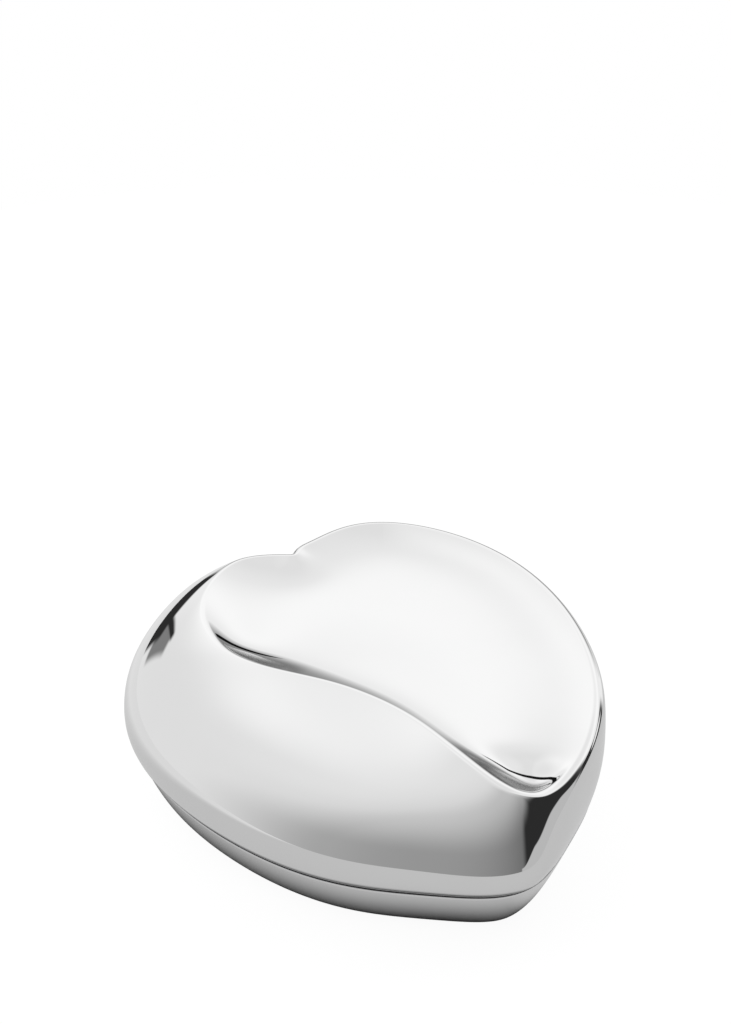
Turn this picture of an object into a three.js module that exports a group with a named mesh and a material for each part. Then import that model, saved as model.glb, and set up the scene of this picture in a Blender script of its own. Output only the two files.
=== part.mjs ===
// Heart-shaped bonbonniere of polished steel: a shallow drawn bowl with a locating collar, and a
// sculpted lift-off lid. Millimetres, +Z up, origin at the middle of the footprint on the table. The
// notch is towards +Y, the tip towards -Y.
import * as THREE from "three";

// Heart outline, which the girth of the lid follows: a round with waves in it, a tip pushed out and
// a notch pressed in
const HEART_RADIUS = 72.1;
const HEART_EGG = 1.0; // broader at the notch end
const HEART_OVAL = 6.05; // longer than wide
const HEART_TAPER = -1.57; // flanks run straighter to the tip
const TIP_REACH = 8.1;
const TIP_SHARPNESS = 31;
const NOTCH_DEPTH = 14.0;
const NOTCH_SHARPNESS = 30;
const NOTCH_TURN = 7.5; // degrees, the notch sits a little to the right of the axis

// Heights
const SEAM_HEIGHT = 17.65; // lower edge of the lid
const SEAM_GAP = 0.5; // shadow line between lid and bowl
const RIM_HEIGHT = 47.8;

// Sections
const SHEET = 1.0; // drawn steel sheet of bowl and lid
const SEAM_TUCK = 2.5; // how far the seam lies inside the outline
const WALL_SETBACK = 0.9; // right wall, girth to rolled edge

// Dish in the top of the lid, and the pocket pressed into it behind the tip
const DISH_MIDDLE = [26, 6]; // from the centre of the outline
const POCKET_MIDDLE = [12.5, -66.5]; // from the centre of the outline
const POCKET_TURN = 138; // degrees, the way the pocket runs
const POCKET_LENGTH = 8;
const POCKET_WIDTH = 4.5;
const POCKET_DEPTH = 2.5;
const POCKET_EDGE = 2; // how far behind the rolled edge it sets in

// Bowl
const FOOT_INSET = 15.6; // flat foot, in from the seam
const BOWL_SHOULDER_INSET = 4.0;
const BOWL_HEEL_INSET = 7.2;
const BOWL_SHOULDER_DROP = 0.61;

// Collar on the bowl's flange and the ring in the lid that sits on it
const COLLAR_RISE = 5.0;
const COLLAR_SHEET = 0.8;
const COLLAR_CLEARANCE = 0.4; // collar to the lid's lower edge
const FLANGE_LEDGE = 1.0; // flange left inside the collar
const RING_THICKNESS = 1.0;
const RING_LEDGE = 1.4; // ring left inside the collar
const RING_CLEARANCE = 0.3; // ring to the lid's wall
const LEANING_SHEET = 1.2 * SHEET; // measured level through the leaning wall

// Fineness
const STATIONS = 108;
const LOW_ROWS = 3;
const SIDE_ROWS = 9;
const ROLL_ROWS = 5;
const DISH_ROWS = 10;
const DISH_GATHER = 1.4; // draws the rows of the dish towards its edge
const BOWL_ROWS = 8;
const MIDDLE_STEPS = 3600; // girth points that the origin is found from
const SLOPE_TRIES = 14; // rounds in which the side's last slope settles
const WALL_TRIES = 40; // halvings in which the wall is found at a height
const STEP = 1e-4; // for directions along a curve
const TINY = 1e-6; // keeps divisions from failing

// Left half of the rim: from the notch round the small left lobe, then the S-shaped crest down to
// and round the tip. Each guide: the outline's angle it is joined to, its own angle, how far in from
// the outline it lies and how far it dips below the rim height.
const RIM_LEFT = [
  { joins: 7.5, at: 7.6, inset: 7.0, dip: 0 },
  { joins: 4.5, at: 4.2, inset: 5.7, dip: 0 },
  { joins: 0, at: -1.4, inset: 6.4, dip: 0 },
  { joins: -6, at: -7.5, inset: 8.7, dip: 0 },
  { joins: -13, at: -14.2, inset: 13.0, dip: 0 },
  { joins: -19.5, at: -21.5, inset: 16.3, dip: 0 },
  { joins: -26, at: -29.2, inset: 19.0, dip: 0 },
  { joins: -34, at: -37.1, inset: 21.7, dip: 0 },
  { joins: -43, at: -44.6, inset: 24.7, dip: 0 },
  { joins: -53, at: -52.4, inset: 27.4, dip: 0 },
  { joins: -64, at: -61.2, inset: 30.2, dip: 0 },
  { joins: -77, at: -73.5, inset: 36.3, dip: 0 },
  { joins: -93, at: -95.6, inset: 44.1, dip: 0 },
  { joins: -109, at: -125.7, inset: 49.8, dip: 0.05 },
  { joins: -126, at: -159, inset: 52.9, dip: 0.1 },
  { joins: -141, at: -171.8, inset: 48.3, dip: 0.25 },
  { joins: -153, at: -175.5, inset: 38.5, dip: 0.5 },
  { joins: -163, at: -177.6, inset: 29.1, dip: 0.9 },
  { joins: -171, at: -179.2, inset: 19.9, dip: 1.6 },
  { joins: -176.5, at: -181.2, inset: 13.3, dip: 2.5 },
  { joins: -180, at: -183.5, inset: 10.2, dip: 3.6 },
  { joins: -182.5, at: -186, inset: 7.9, dip: 4.6 },
  { joins: -185, at: -189, inset: 6.4, dip: 5.4 },
  { joins: -188.5, at: -192.6, inset: 4.9, dip: 5.75 },
  { joins: -193.5, at: -196.6, inset: 3.8, dip: 5.6 },
  { joins: -199.5, at: -201.3, inset: 3.0, dip: 5.1 },
  { joins: -206, at: -206.4, inset: 2.8, dip: 4.4 },
  { joins: -214, at: -213.3, inset: 2.9, dip: 3.5 },
];
// Right half of the rim: straight above the wall, back to the notch
const RIM_RIGHT = [
  -224, -235, -247, -259, -270, -281, -291, -301, -310, -318, -326, -334, -341,
  -347, -350.5,
];
const RIGHT_DIPS = [2.7, 1.9, 1.25, 0.8, 0.45, 0.25, 0.1];

// Side of the lid at some of the guides: height of the girth above the seam, how high the side
// stands before it leans in, how far it still climbs at the rim, how much of the run that climb
// takes, swell of the girth past the outline, and radius of the rolled edge.
const SIDE_SECTIONS = [
  { guide: 0, girth: 11.55, rise: 0.55, level: 0.1, span: 0.36, swell: 0, roll: 2.1 },
  { guide: 4, girth: 11.55, rise: 0.55, level: 0.1, span: 0.36, swell: 0, roll: 2.1 },
  { guide: 7, girth: 8.45, rise: 0.47, level: 0.1, span: 0.45, swell: 0, roll: 3.1 },
  { guide: 10, girth: 5.05, rise: 0.56, level: 0.1, span: 0.5, swell: 0, roll: 3.5 },
  { guide: 12.5, girth: 4.55, rise: 0.81, level: 0.12, span: 0.55, swell: 0, roll: 3.5 },
  { guide: 15.5, girth: 4.55, rise: 0.66, level: 0.18, span: 0.52, swell: 0, roll: 3.5 },
  { guide: 18, girth: 5.15, rise: 0.43, level: 0.22, span: 0.5, swell: 1.1, roll: 3.5 },
  { guide: 20.5, girth: 6.85, rise: 0.25, level: 0.25, span: 0.48, swell: 2.3, roll: 3.1 },
  { guide: 23, girth: 9.95, rise: 0.5, level: 0.18, span: 0.5, swell: 0.5, roll: 2.6 },
  { guide: 26, girth: 14.65, rise: 0.96, level: 0.08, span: 0.5, swell: 0.1, roll: 2.1 },
  { guide: 43, girth: 14.65, rise: 0.96, level: 0.08, span: 0.5, swell: 0.1, roll: 2.1 },
];
// Dish behind some of the guides: slope in degrees where it leaves the rolled edge, how far that
// slope runs, and how softly it then bends level. The dish is steep at the two ends of the crest.
const DISH_SECTIONS = [
  { guide: 0, slope: 20, run: 6, bend: 6 },
  { guide: 5, slope: 20, run: 6, bend: 6 },
  { guide: 7, slope: 21, run: 6, bend: 5 },
  { guide: 8, slope: 24, run: 7, bend: 4 },
  { guide: 9, slope: 29, run: 9, bend: 2.5 },
  { guide: 10, slope: 24, run: 11, bend: 2 },
  { guide: 11, slope: 19, run: 9, bend: 2 },
  { guide: 12, slope: 15.5, run: 5, bend: 2.7 },
  { guide: 13, slope: 14.3, run: 1, bend: 4 },
  { guide: 14, slope: 14.8, run: 1, bend: 4 },
  { guide: 15, slope: 15.5, run: 1, bend: 4 },
  { guide: 16, slope: 18, run: 1.5, bend: 4 },
  { guide: 17, slope: 22.1, run: 5.7, bend: 2.7 },
  { guide: 18, slope: 22, run: 8, bend: 3 },
  { guide: 19, slope: 21, run: 9, bend: 3 },
  { guide: 20, slope: 21, run: 10, bend: 3 },
  { guide: 21, slope: 24, run: 10, bend: 3 },
  { guide: 22, slope: 24, run: 9, bend: 3 },
  { guide: 23, slope: 15, run: 5, bend: 3 },
  { guide: 24, slope: 7, run: 4, bend: 4 },
  { guide: 25, slope: 7, run: 4, bend: 4 },
  { guide: 27, slope: 10, run: 5, bend: 5 },
  { guide: 30, slope: 16, run: 6, bend: 6 },
  { guide: 43, slope: 20, run: 6, bend: 6 },
];

const rad = THREE.MathUtils.degToRad;
const mix = (a, b, w) => a + (b - a) * w;

// Outline of the heart at an angle from the notch, before it is centred
function outlineRadius(a) {
  return (
    HEART_RADIUS +
    HEART_EGG * Math.cos(a) +
    HEART_OVAL * Math.cos(2 * a) +
    HEART_TAPER * Math.cos(3 * a) +
    TIP_REACH * Math.exp(TIP_SHARPNESS * (-Math.cos(a) - 1)) -
    NOTCH_DEPTH *
      Math.exp(NOTCH_SHARPNESS * (Math.cos(a - rad(NOTCH_TURN)) - 1))
  );
}
function polar(a, r) {
  return new THREE.Vector2(r * Math.sin(a), r * Math.cos(a));
}
function outline(a) {
  return polar(a, outlineRadius(a));
}
function outlineNormal(a) {
  const along = outline(a + STEP).sub(outline(a - STEP));
  return new THREE.Vector2(-along.y, along.x).normalize();
}

// Smooth closed curve guided by values at even steps; turn is what the value gains in one round
function closedSpline(values, t, turn = 0) {
  const n = values.length;
  const u = t * n;
  const i = Math.floor(u);
  const f = u - i;
  const weights = [
    (1 - f) ** 3 / 6,
    (3 * f ** 3 - 6 * f ** 2 + 4) / 6,
    (-3 * f ** 3 + 3 * f ** 2 + 3 * f + 1) / 6,
    f ** 3 / 6,
  ];
  let sum = 0;
  weights.forEach((w, k) => {
    const j = i + k - 1;
    const round = Math.floor(j / n);
    sum += w * (values[j - round * n] + turn * round);
  });
  return sum;
}

// Value of a column of a table of sections at a guide, between the sections that are given
function sectionAt(table, column, guide) {
  const next = Math.max(
    table.findIndex((row) => row.guide >= guide),
    1,
  );
  const [a, b] = [table[next - 1], table[next]];
  return mix(a[column], b[column], (guide - a.guide) / (b.guide - a.guide));
}

// Guides of the rim, left half then right half, with the sections filled in
const guides = RIM_LEFT.map((g) => {
  const p = polar(rad(g.at), outlineRadius(rad(g.at)) - g.inset);
  return { x: p.x, y: p.y, joins: g.joins, dip: g.dip };
});
RIM_RIGHT.forEach((angle, i) => {
  const guide = guides.length;
  const setback =
    sectionAt(SIDE_SECTIONS, "roll", guide) +
    WALL_SETBACK -
    sectionAt(SIDE_SECTIONS, "swell", guide);
  const p = outline(rad(angle)).addScaledVector(
    outlineNormal(rad(angle)),
    -setback,
  );
  guides.push({ x: p.x, y: p.y, joins: angle, dip: RIGHT_DIPS[i] ?? 0 });
});
const guided = {};
for (const name of ["x", "y", "joins", "dip"])
  guided[name] = guides.map((g) => g[name]);
for (const table of [SIDE_SECTIONS, DISH_SECTIONS])
  for (const name of Object.keys(table[0]))
    guided[name] = guides.map((_, i) => sectionAt(table, name, i));
function rimPoint(t) {
  return new THREE.Vector2(
    closedSpline(guided.x, t),
    closedSpline(guided.y, t),
  );
}

// One station round the box: its place on the outline and on the rim, and the side profile between them
function station(t) {
  const at = (name) => closedSpline(guided[name], t);
  const angle = rad(closedSpline(guided.joins, t, -360));
  const foot = outline(angle);
  const outward = outlineNormal(angle);
  const swell = at("swell");
  const girth = foot.clone().addScaledVector(outward, swell);
  const girthHeight = SEAM_HEIGHT + at("girth");
  const rim = rimPoint(t);
  const along = rimPoint(t + STEP).sub(rimPoint(t - STEP));
  const inward = new THREE.Vector2(-along.y, along.x).normalize();
  const top = RIM_HEIGHT - at("dip");
  const level = at("level");
  const span = at("span");
  const roll = at("roll");
  // The side ends on the rolled edge at the slope it arrives with
  let slope = Math.PI / 2;
  let end = rim;
  let endHeight = top;
  for (let i = 0; i < SLOPE_TRIES; i++) {
    end = rim.clone().addScaledVector(inward, -roll * Math.sin(slope));
    endHeight = top - roll * (1 - Math.cos(slope));
    const reach = Math.max(end.clone().sub(girth).dot(inward), 0);
    slope = Math.atan2(level * (endHeight - girthHeight), span * reach + TINY);
  }
  return {
    foot,
    outward,
    swell,
    girth,
    girthHeight,
    rim,
    inward,
    top,
    rise: at("rise"),
    level,
    span,
    roll,
    slope,
    end,
    endHeight,
    dishSlope: rad(at("slope")),
    dishRun: at("run"),
    dishBend: at("bend"),
  };
}
const stations = Array.from({ length: STATIONS }, (_, i) =>
  station(i / STATIONS),
);

// Middle of the box round the girth, which becomes the origin
const box = new THREE.Box2();
for (let i = 0; i < MIDDLE_STEPS; i++)
  box.expandByPoint(station(i / MIDDLE_STEPS).girth);
const middle = box.getCenter(new THREE.Vector2());

function place(p, z) {
  return new THREE.Vector3(p.x - middle.x, p.y - middle.y, z);
}

// Lid below the girth, w from the seam up to the girth
function lowPoint(s, w) {
  const tuck = (SEAM_TUCK + s.swell) * (1 - w) ** 2;
  return place(
    s.girth.clone().addScaledVector(s.outward, -tuck),
    mix(SEAM_HEIGHT, s.girthHeight, w),
  );
}
// Side of the lid from the girth up to the rolled edge
function sideShares(s, w) {
  const b1 = 3 * w * (1 - w) ** 2;
  const b2 = 3 * w * w * (1 - w);
  const b3 = w ** 3;
  return {
    across: b2 * (1 - s.span) + b3,
    up: b1 * s.rise + b2 * (1 - s.level) + b3,
  };
}
function sidePoint(s, w) {
  const share = sideShares(s, w);
  return place(
    s.girth.clone().lerp(s.end, share.across),
    mix(s.girthHeight, s.endHeight, share.up),
  );
}
// Rolled edge from the side over the rim into the dish
function rollPoint(s, w) {
  const lean = mix(s.slope, -s.dishSlope, w);
  return place(
    s.rim.clone().addScaledVector(s.inward, -s.roll * Math.sin(lean)),
    s.top - s.roll * (1 - Math.cos(lean)),
  );
}

// How far the dish has fallen at a distance from its edge: steadily along its run, then it bends level
function dishFall(distance, steepness, run, bend) {
  const soft = (d) => bend * Math.log1p(Math.exp((d - run) / bend));
  const level = distance - soft(distance) + soft(0);
  return steepness * level * (1 + Math.exp(-run / bend));
}
// How much deeper the pocket makes the dish at a place so far from the edge
function pocketFall(x, y, distance) {
  const turn = rad(POCKET_TURN);
  const dx = x + middle.x - POCKET_MIDDLE[0];
  const dy = y + middle.y - POCKET_MIDDLE[1];
  const along = (dx * Math.sin(turn) + dy * Math.cos(turn)) / POCKET_LENGTH;
  const across = (dx * Math.cos(turn) - dy * Math.sin(turn)) / POCKET_WIDTH;
  const setIn = distance ** 2 / (distance ** 2 + POCKET_EDGE ** 2);
  return POCKET_DEPTH * setIn * Math.exp(-(along ** 2 + across ** 2) / 2);
}
// Height of the dish; the distance to the whole edge is blended so that no crease shows
const dishEdge = stations.map((s) => {
  const p = rollPoint(s, 1);
  const steepness = Math.tan(s.dishSlope);
  return { p, values: [p.z, steepness, s.dishRun, s.dishBend] };
});
function dishHeight(x, y) {
  let total = 0;
  const sums = [0, 0, 0, 0];
  dishEdge.forEach((edge, i) => {
    const next = dishEdge[(i + 1) % STATIONS];
    const a = edge.p;
    const b = next.p;
    const length = Math.hypot(b.x - a.x, b.y - a.y);
    const ex = (b.x - a.x) / length;
    const ey = (b.y - a.y) / length;
    const s = (x - a.x) * ex + (y - a.y) * ey;
    const h2 = Math.max((x - a.x) ** 2 + (y - a.y) ** 2 - s * s, TINY);
    const reach = (d) => d / (h2 * Math.sqrt(h2 + d * d));
    const w = reach(length - s) + reach(s);
    total += w;
    edge.values.forEach((value, k) => {
      sums[k] += (w * (value + next.values[k])) / 2;
    });
  });
  const [height, steepness, run, bend] = sums.map((sum) => sum / total);
  const distance = Math.sqrt(2 / total);
  const fall = dishFall(distance, steepness, run, bend);
  return height - fall - pocketFall(x, y, distance);
}
const dishMiddle = new THREE.Vector3(
  DISH_MIDDLE[0] - middle.x,
  DISH_MIDDLE[1] - middle.y,
  0,
);
dishMiddle.z = dishHeight(dishMiddle.x, dishMiddle.y);
function dishPoint(i, w) {
  const p = dishEdge[i].p.clone().lerp(dishMiddle, w);
  p.z = dishHeight(p.x, p.y);
  return p;
}

// Outer skin of the lid as rows of points from the seam to the middle of the dish
const lidRows = [];
for (let i = 0; i < LOW_ROWS; i++)
  lidRows.push(stations.map((s) => lowPoint(s, i / LOW_ROWS)));
for (let i = 0; i < SIDE_ROWS; i++)
  lidRows.push(stations.map((s) => sidePoint(s, i / SIDE_ROWS)));
const firstRollRow = lidRows.length;
for (let i = 0; i <= ROLL_ROWS; i++)
  lidRows.push(stations.map((s) => rollPoint(s, i / ROLL_ROWS)));
const lastRollRow = lidRows.length - 1;
for (let i = 1; i < DISH_ROWS; i++)
  lidRows.push(
    stations.map((_, j) => dishPoint(j, (i / DISH_ROWS) ** DISH_GATHER)),
  );

// The same point of the skin moved in by the sheet
function insidePoint(row, i) {
  const above = lidRows[Math.min(row + 1, lidRows.length - 1)][i];
  const below = lidRows[Math.max(row - 1, 0)][i];
  const ahead = lidRows[row][(i + 1) % STATIONS];
  const behind = lidRows[row][(i + STATIONS - 1) % STATIONS];
  const normal = ahead
    .clone()
    .sub(behind)
    .cross(above.clone().sub(below))
    .normalize();
  return lidRows[row][i].clone().addScaledVector(normal, -SHEET);
}

// Triangles between rows of points; a row of one point closes the skin like a pole
function skin(rows, joined = false) {
  const positions = [];
  const face = (a, b, c) =>
    [a, b, c].forEach((p) => positions.push(p.x, p.y, p.z));
  const last = joined ? rows.length : rows.length - 1;
  for (let r = 0; r < last; r++) {
    const low = rows[r];
    const high = rows[(r + 1) % rows.length];
    const n = Math.max(low.length, high.length);
    for (let i = 0; i < n; i++) {
      const k = (i + 1) % n;
      if (low.length === 1) face(low[0], high[k], high[i]);
      else if (high.length === 1) face(low[i], low[k], high[0]);
      else {
        face(low[i], low[k], high[k]);
        face(low[i], high[k], high[i]);
      }
    }
  }
  const geometry = new THREE.BufferGeometry();
  geometry.setAttribute(
    "position",
    new THREE.Float32BufferAttribute(positions, 3),
  );
  geometry.computeVertexNormals();
  return geometry;
}

// Heart-shaped row at a height, moved in from the outline
function heartRow(inset, z) {
  return stations.map((s) =>
    place(s.foot.clone().addScaledVector(s.outward, -inset), z),
  );
}

// Lid shell: outer skin to the middle of the dish, and back down inside
const insideRows = [];
for (let r = lidRows.length - 2; r > lastRollRow; r -= 2) insideRows.push(r);
insideRows.push(lastRollRow, firstRollRow + 2, firstRollRow);
for (let r = firstRollRow - 2; r > 0; r -= 2) insideRows.push(r);
const lidInside = insideRows.map((r) =>
  stations.map((_, i) => insidePoint(r, i)),
);
const dishUnderside = dishMiddle.clone();
dishUnderside.z -= SHEET;
const lidShell = skin([
  [dishUnderside],
  ...lidInside,
  heartRow(SEAM_TUCK + SHEET, SEAM_HEIGHT),
  ...lidRows,
  [dishMiddle],
]);

// Bowl: outer and inner profile from the mouth down to the flat foot, as inset from the seam and height
const mouthHeight = SEAM_HEIGHT - SEAM_GAP;
function bowlProfile(w) {
  const b0 = (1 - w) ** 3;
  const b1 = 3 * w * (1 - w) ** 2;
  const b2 = 3 * w * w * (1 - w);
  const b3 = w ** 3;
  return new THREE.Vector2(
    b1 * BOWL_SHOULDER_INSET + b2 * BOWL_HEEL_INSET + b3 * FOOT_INSET,
    mouthHeight * (b0 + b1 * (1 - BOWL_SHOULDER_DROP)),
  );
}
function bowlInside(w) {
  const along = bowlProfile(Math.min(w + STEP, 1)).sub(
    bowlProfile(Math.max(w - STEP, 0)),
  );
  const normal = new THREE.Vector2(-along.y, along.x).normalize();
  return bowlProfile(w).addScaledVector(normal, SHEET);
}
const flangeWidth =
  SHEET + COLLAR_CLEARANCE + COLLAR_SHEET + FLANGE_LEDGE;
const bowlOuter = [];
const bowlInner = [];
for (let i = BOWL_ROWS; i >= 0; i--) {
  const p = bowlProfile(i / BOWL_ROWS);
  bowlOuter.push(heartRow(SEAM_TUCK + p.x, p.y));
}
for (let i = 0; i <= BOWL_ROWS; i += 2) {
  const p = bowlInside(i / BOWL_ROWS);
  if (i === 0) p.y = mouthHeight - SHEET;
  bowlInner.push(heartRow(SEAM_TUCK + p.x, p.y));
}
const bowl = skin([
  [place(new THREE.Vector2(0, 0), 0)],
  ...bowlOuter,
  heartRow(SEAM_TUCK + flangeWidth, mouthHeight),
  heartRow(SEAM_TUCK + flangeWidth, mouthHeight - SHEET),
  ...bowlInner,
  [place(new THREE.Vector2(0, 0), SHEET)],
]);

// Collar: an upright band standing on the flange
const collarInset = SEAM_TUCK + SHEET + COLLAR_CLEARANCE;
const collarTop = mouthHeight + COLLAR_RISE;
const collar = skin(
  [
    heartRow(collarInset, mouthHeight),
    heartRow(collarInset, collarTop),
    heartRow(collarInset + COLLAR_SHEET, collarTop),
    heartRow(collarInset + COLLAR_SHEET, mouthHeight),
  ],
  true,
);

// How far in from the outline the lid's wall stands at a height
function wallInset(s, z) {
  if (z <= s.girthHeight) {
    const w = (z - SEAM_HEIGHT) / (s.girthHeight - SEAM_HEIGHT);
    return (SEAM_TUCK + s.swell) * (1 - Math.max(w, 0)) ** 2 - s.swell;
  }
  let low = 0;
  let high = 1;
  for (let i = 0; i < WALL_TRIES; i++) {
    const w = (low + high) / 2;
    if (mix(s.girthHeight, s.endHeight, sideShares(s, w).up) < z) low = w;
    else high = w;
  }
  const lean = s.girth.clone().sub(s.end).dot(s.outward);
  return Math.max(lean * sideShares(s, low).across, 0) - s.swell;
}
// Seat ring: a flat ring inside the lid that comes to rest on the collar
const ringTop = collarTop + RING_THICKNESS;
const ringOuter = stations.map((s) => {
  const wall = Math.max(wallInset(s, collarTop), wallInset(s, ringTop));
  return wall + LEANING_SHEET + RING_CLEARANCE;
});
const ringOuterRow = (z) =>
  stations.map((s, i) =>
    place(s.foot.clone().addScaledVector(s.outward, -ringOuter[i]), z),
  );
const ringInset = collarInset + COLLAR_SHEET + RING_LEDGE;
const ring = skin(
  [
    ringOuterRow(collarTop),
    ringOuterRow(ringTop),
    heartRow(ringInset, ringTop),
    heartRow(ringInset, collarTop),
  ],
  true,
);

// Finishes and the assembly
const mirror = new THREE.MeshStandardMaterial({
  color: 0xd9dadb,
  metalness: 1,
  roughness: 0.04,
});
const satin = new THREE.MeshStandardMaterial({
  color: 0xb9babb,
  metalness: 1,
  roughness: 0.32,
});
const group = new THREE.Group();
group.name = "heart_bonbonniere";
function add(name, geometry, material) {
  const mesh = new THREE.Mesh(geometry, material);
  mesh.name = name;
  group.add(mesh);
}
add("base_bowl", bowl, mirror);
add("base_collar", collar, satin);
add("lid_shell", lidShell, mirror);
add("lid_seat_ring", ring, satin);

export default group;
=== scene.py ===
import math
from functools import partial
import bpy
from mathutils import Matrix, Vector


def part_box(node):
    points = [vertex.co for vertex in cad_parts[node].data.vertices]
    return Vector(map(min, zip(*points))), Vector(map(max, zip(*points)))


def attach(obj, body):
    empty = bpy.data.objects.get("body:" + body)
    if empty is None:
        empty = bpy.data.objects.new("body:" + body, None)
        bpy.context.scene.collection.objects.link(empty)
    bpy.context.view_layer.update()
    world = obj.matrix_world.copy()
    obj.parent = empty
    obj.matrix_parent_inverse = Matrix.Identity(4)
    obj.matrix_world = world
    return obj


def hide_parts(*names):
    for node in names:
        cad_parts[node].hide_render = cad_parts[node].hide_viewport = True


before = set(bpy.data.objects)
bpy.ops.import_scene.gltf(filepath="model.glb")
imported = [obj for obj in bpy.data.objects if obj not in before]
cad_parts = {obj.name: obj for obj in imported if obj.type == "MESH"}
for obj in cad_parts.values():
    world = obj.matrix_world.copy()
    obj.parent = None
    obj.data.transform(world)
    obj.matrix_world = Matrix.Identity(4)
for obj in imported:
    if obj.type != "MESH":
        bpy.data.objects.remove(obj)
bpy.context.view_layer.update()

from types import SimpleNamespace

import bpy
import numpy as np
from bpy.props import FloatProperty, FloatVectorProperty, IntProperty, PointerProperty

bl_info = {
    "name": "Heart-shaped bonbonniere",
    "version": (1, 0, 0),
    "blender": (4, 5, 0),
    "location": "View3D > Sidebar > Bonbonniere",
    "description": "Builds a heart-shaped sweet box of polished steel on its packed model",
    "category": "Object",
}

MM = 0.001
LID_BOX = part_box("lid_shell")
BOWL_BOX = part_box("base_bowl")
COLLAR_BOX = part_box("base_collar")
RING_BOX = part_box("lid_seat_ring")

# Left half of the rim: from the notch round the small left lobe, then the S-shaped crest down to the tip.
# Each guide: the outline's angle it is joined to and its own angle, in degrees, then in millimetres how far
# in from the outline it lies and how far it dips below the rim.
RIM_LEFT = (
    (7.5, 7.6, 7.0, 0),
    (4.5, 4.2, 5.7, 0),
    (0, -1.4, 6.4, 0),
    (-6, -7.5, 8.7, 0),
    (-13, -14.2, 13.0, 0),
    (-19.5, -21.5, 16.3, 0),
    (-26, -29.2, 19.0, 0),
    (-34, -37.1, 21.7, 0),
    (-43, -44.6, 24.7, 0),
    (-53, -52.4, 27.4, 0),
    (-64, -61.2, 30.2, 0),
    (-77, -73.5, 36.3, 0),
    (-93, -95.6, 44.1, 0),
    (-109, -125.7, 49.8, 0.05),
    (-126, -159, 52.9, 0.1),
    (-141, -171.8, 48.3, 0.25),
    (-153, -175.5, 38.5, 0.5),
    (-163, -177.6, 29.1, 0.9),
    (-171, -179.2, 19.9, 1.6),
    (-176.5, -181.2, 13.3, 2.5),
    (-180, -183.5, 10.2, 3.6),
    (-182.5, -186, 7.9, 4.6),
    (-185, -189, 6.4, 5.4),
    (-188.5, -192.6, 4.9, 5.75),
    (-193.5, -196.6, 3.8, 5.6),
    (-199.5, -201.3, 3.0, 5.1),
    (-206, -206.4, 2.8, 4.4),
    (-214, -213.3, 2.9, 3.5),
)
# Right half of the rim: straight above the wall, back to the notch, as angles of the outline
RIM_RIGHT = (
    -224, -235, -247, -259, -270, -281, -291,
    -301, -310, -318, -326, -334, -341, -347, -350.5,
)
RIGHT_DIPS = (2.7, 1.9, 1.25, 0.8, 0.45, 0.25, 0.1)
# Side of the lid at some of the guides: number of the guide, height of the girth above the seam, rise, level
# and span of the side, swell of the girth and radius of the rolled edge.
SIDE_SECTIONS = (
    (0, 11.55, 0.55, 0.10, 0.36, 0.0, 2.1),
    (4, 11.55, 0.55, 0.10, 0.36, 0.0, 2.1),
    (7, 8.45, 0.47, 0.10, 0.45, 0.0, 3.1),
    (10, 5.05, 0.56, 0.10, 0.50, 0.0, 3.5),
    (12.5, 4.55, 0.81, 0.12, 0.55, 0.0, 3.5),
    (15.5, 4.55, 0.66, 0.18, 0.52, 0.0, 3.5),
    (18, 5.15, 0.43, 0.22, 0.50, 1.1, 3.5),
    (20.5, 6.85, 0.25, 0.25, 0.48, 2.3, 3.1),
    (23, 9.95, 0.50, 0.18, 0.50, 0.5, 2.6),
    (26, 14.65, 0.96, 0.08, 0.50, 0.1, 2.1),
    (43, 14.65, 0.96, 0.08, 0.50, 0.1, 2.1),
)
# Dish behind some of the guides: number of the guide, slope in degrees where it leaves the rolled edge, how
# far that slope runs, and how softly it then bends level.
DISH_SECTIONS = (
    (0, 20, 6, 6),
    (5, 20, 6, 6),
    (7, 21, 6, 5),
    (8, 24, 7, 4),
    (9, 29, 9, 2.5),
    (10, 24, 11, 2),
    (11, 19, 9, 2),
    (12, 15.5, 5, 2.7),
    (13, 14.3, 1, 4),
    (14, 14.8, 1, 4),
    (15, 15.5, 1, 4),
    (16, 18, 1.5, 4),
    (17, 22.1, 5.7, 2.7),
    (18, 22, 8, 3),
    (19, 21, 9, 3),
    (20, 21, 10, 3),
    (21, 24, 10, 3),
    (22, 24, 9, 3),
    (23, 15, 5, 3),
    (24, 7, 4, 4),
    (25, 7, 4, 4),
    (27, 10, 5, 5),
    (30, 16, 6, 6),
    (43, 20, 6, 6),
)
# Lips of the pockets at the two ends of the crest: place from the heart's centre and half the width of the
# painted dark line along the lip (a painted reflection), in millimetres, then how dull the pocket is, in
# roughness and in painted shade. Followed along its points, each lip has its pocket on the right.
LEFT_LIP = (
    (-34.3, 32.3, -0.4, 0),
    (-33.6, 30.9, 1.0, 1),
    (-32.6, 28.9, 1.0, 1),
    (-31.1, 26.1, 0.95, 1),
    (-27.5, 21.1, 0.85, 1),
    (-23.8, 15.8, 0.55, 1),
    (-19.9, 10.7, 0.0, 0.9),
    (-15.1, 4.4, -0.5, 0),
)
RIGHT_LIP = (
    (0.8, -47.0, -0.5, 0),
    (2.5, -52.4, -0.2, 0.6),
    (5.3, -56.6, 0.3, 1),
    (9.2, -61.7, 0.5, 1),
    (14.2, -65.8, 0.6, 1),
    (17.9, -69.8, 0.7, 1),
    (18.3, -71.3, 0.8, 1),
    (17.2, -73.1, 0.8, 1),
    (15.3, -74.5, 0.5, 1),
)


# Settings


def setting(kind, **options):
    """Maker of one kind of setting that a user may change."""

    def made(name, description, default):
        return kind(name=name, description=description, default=default, **options)

    return made


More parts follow.
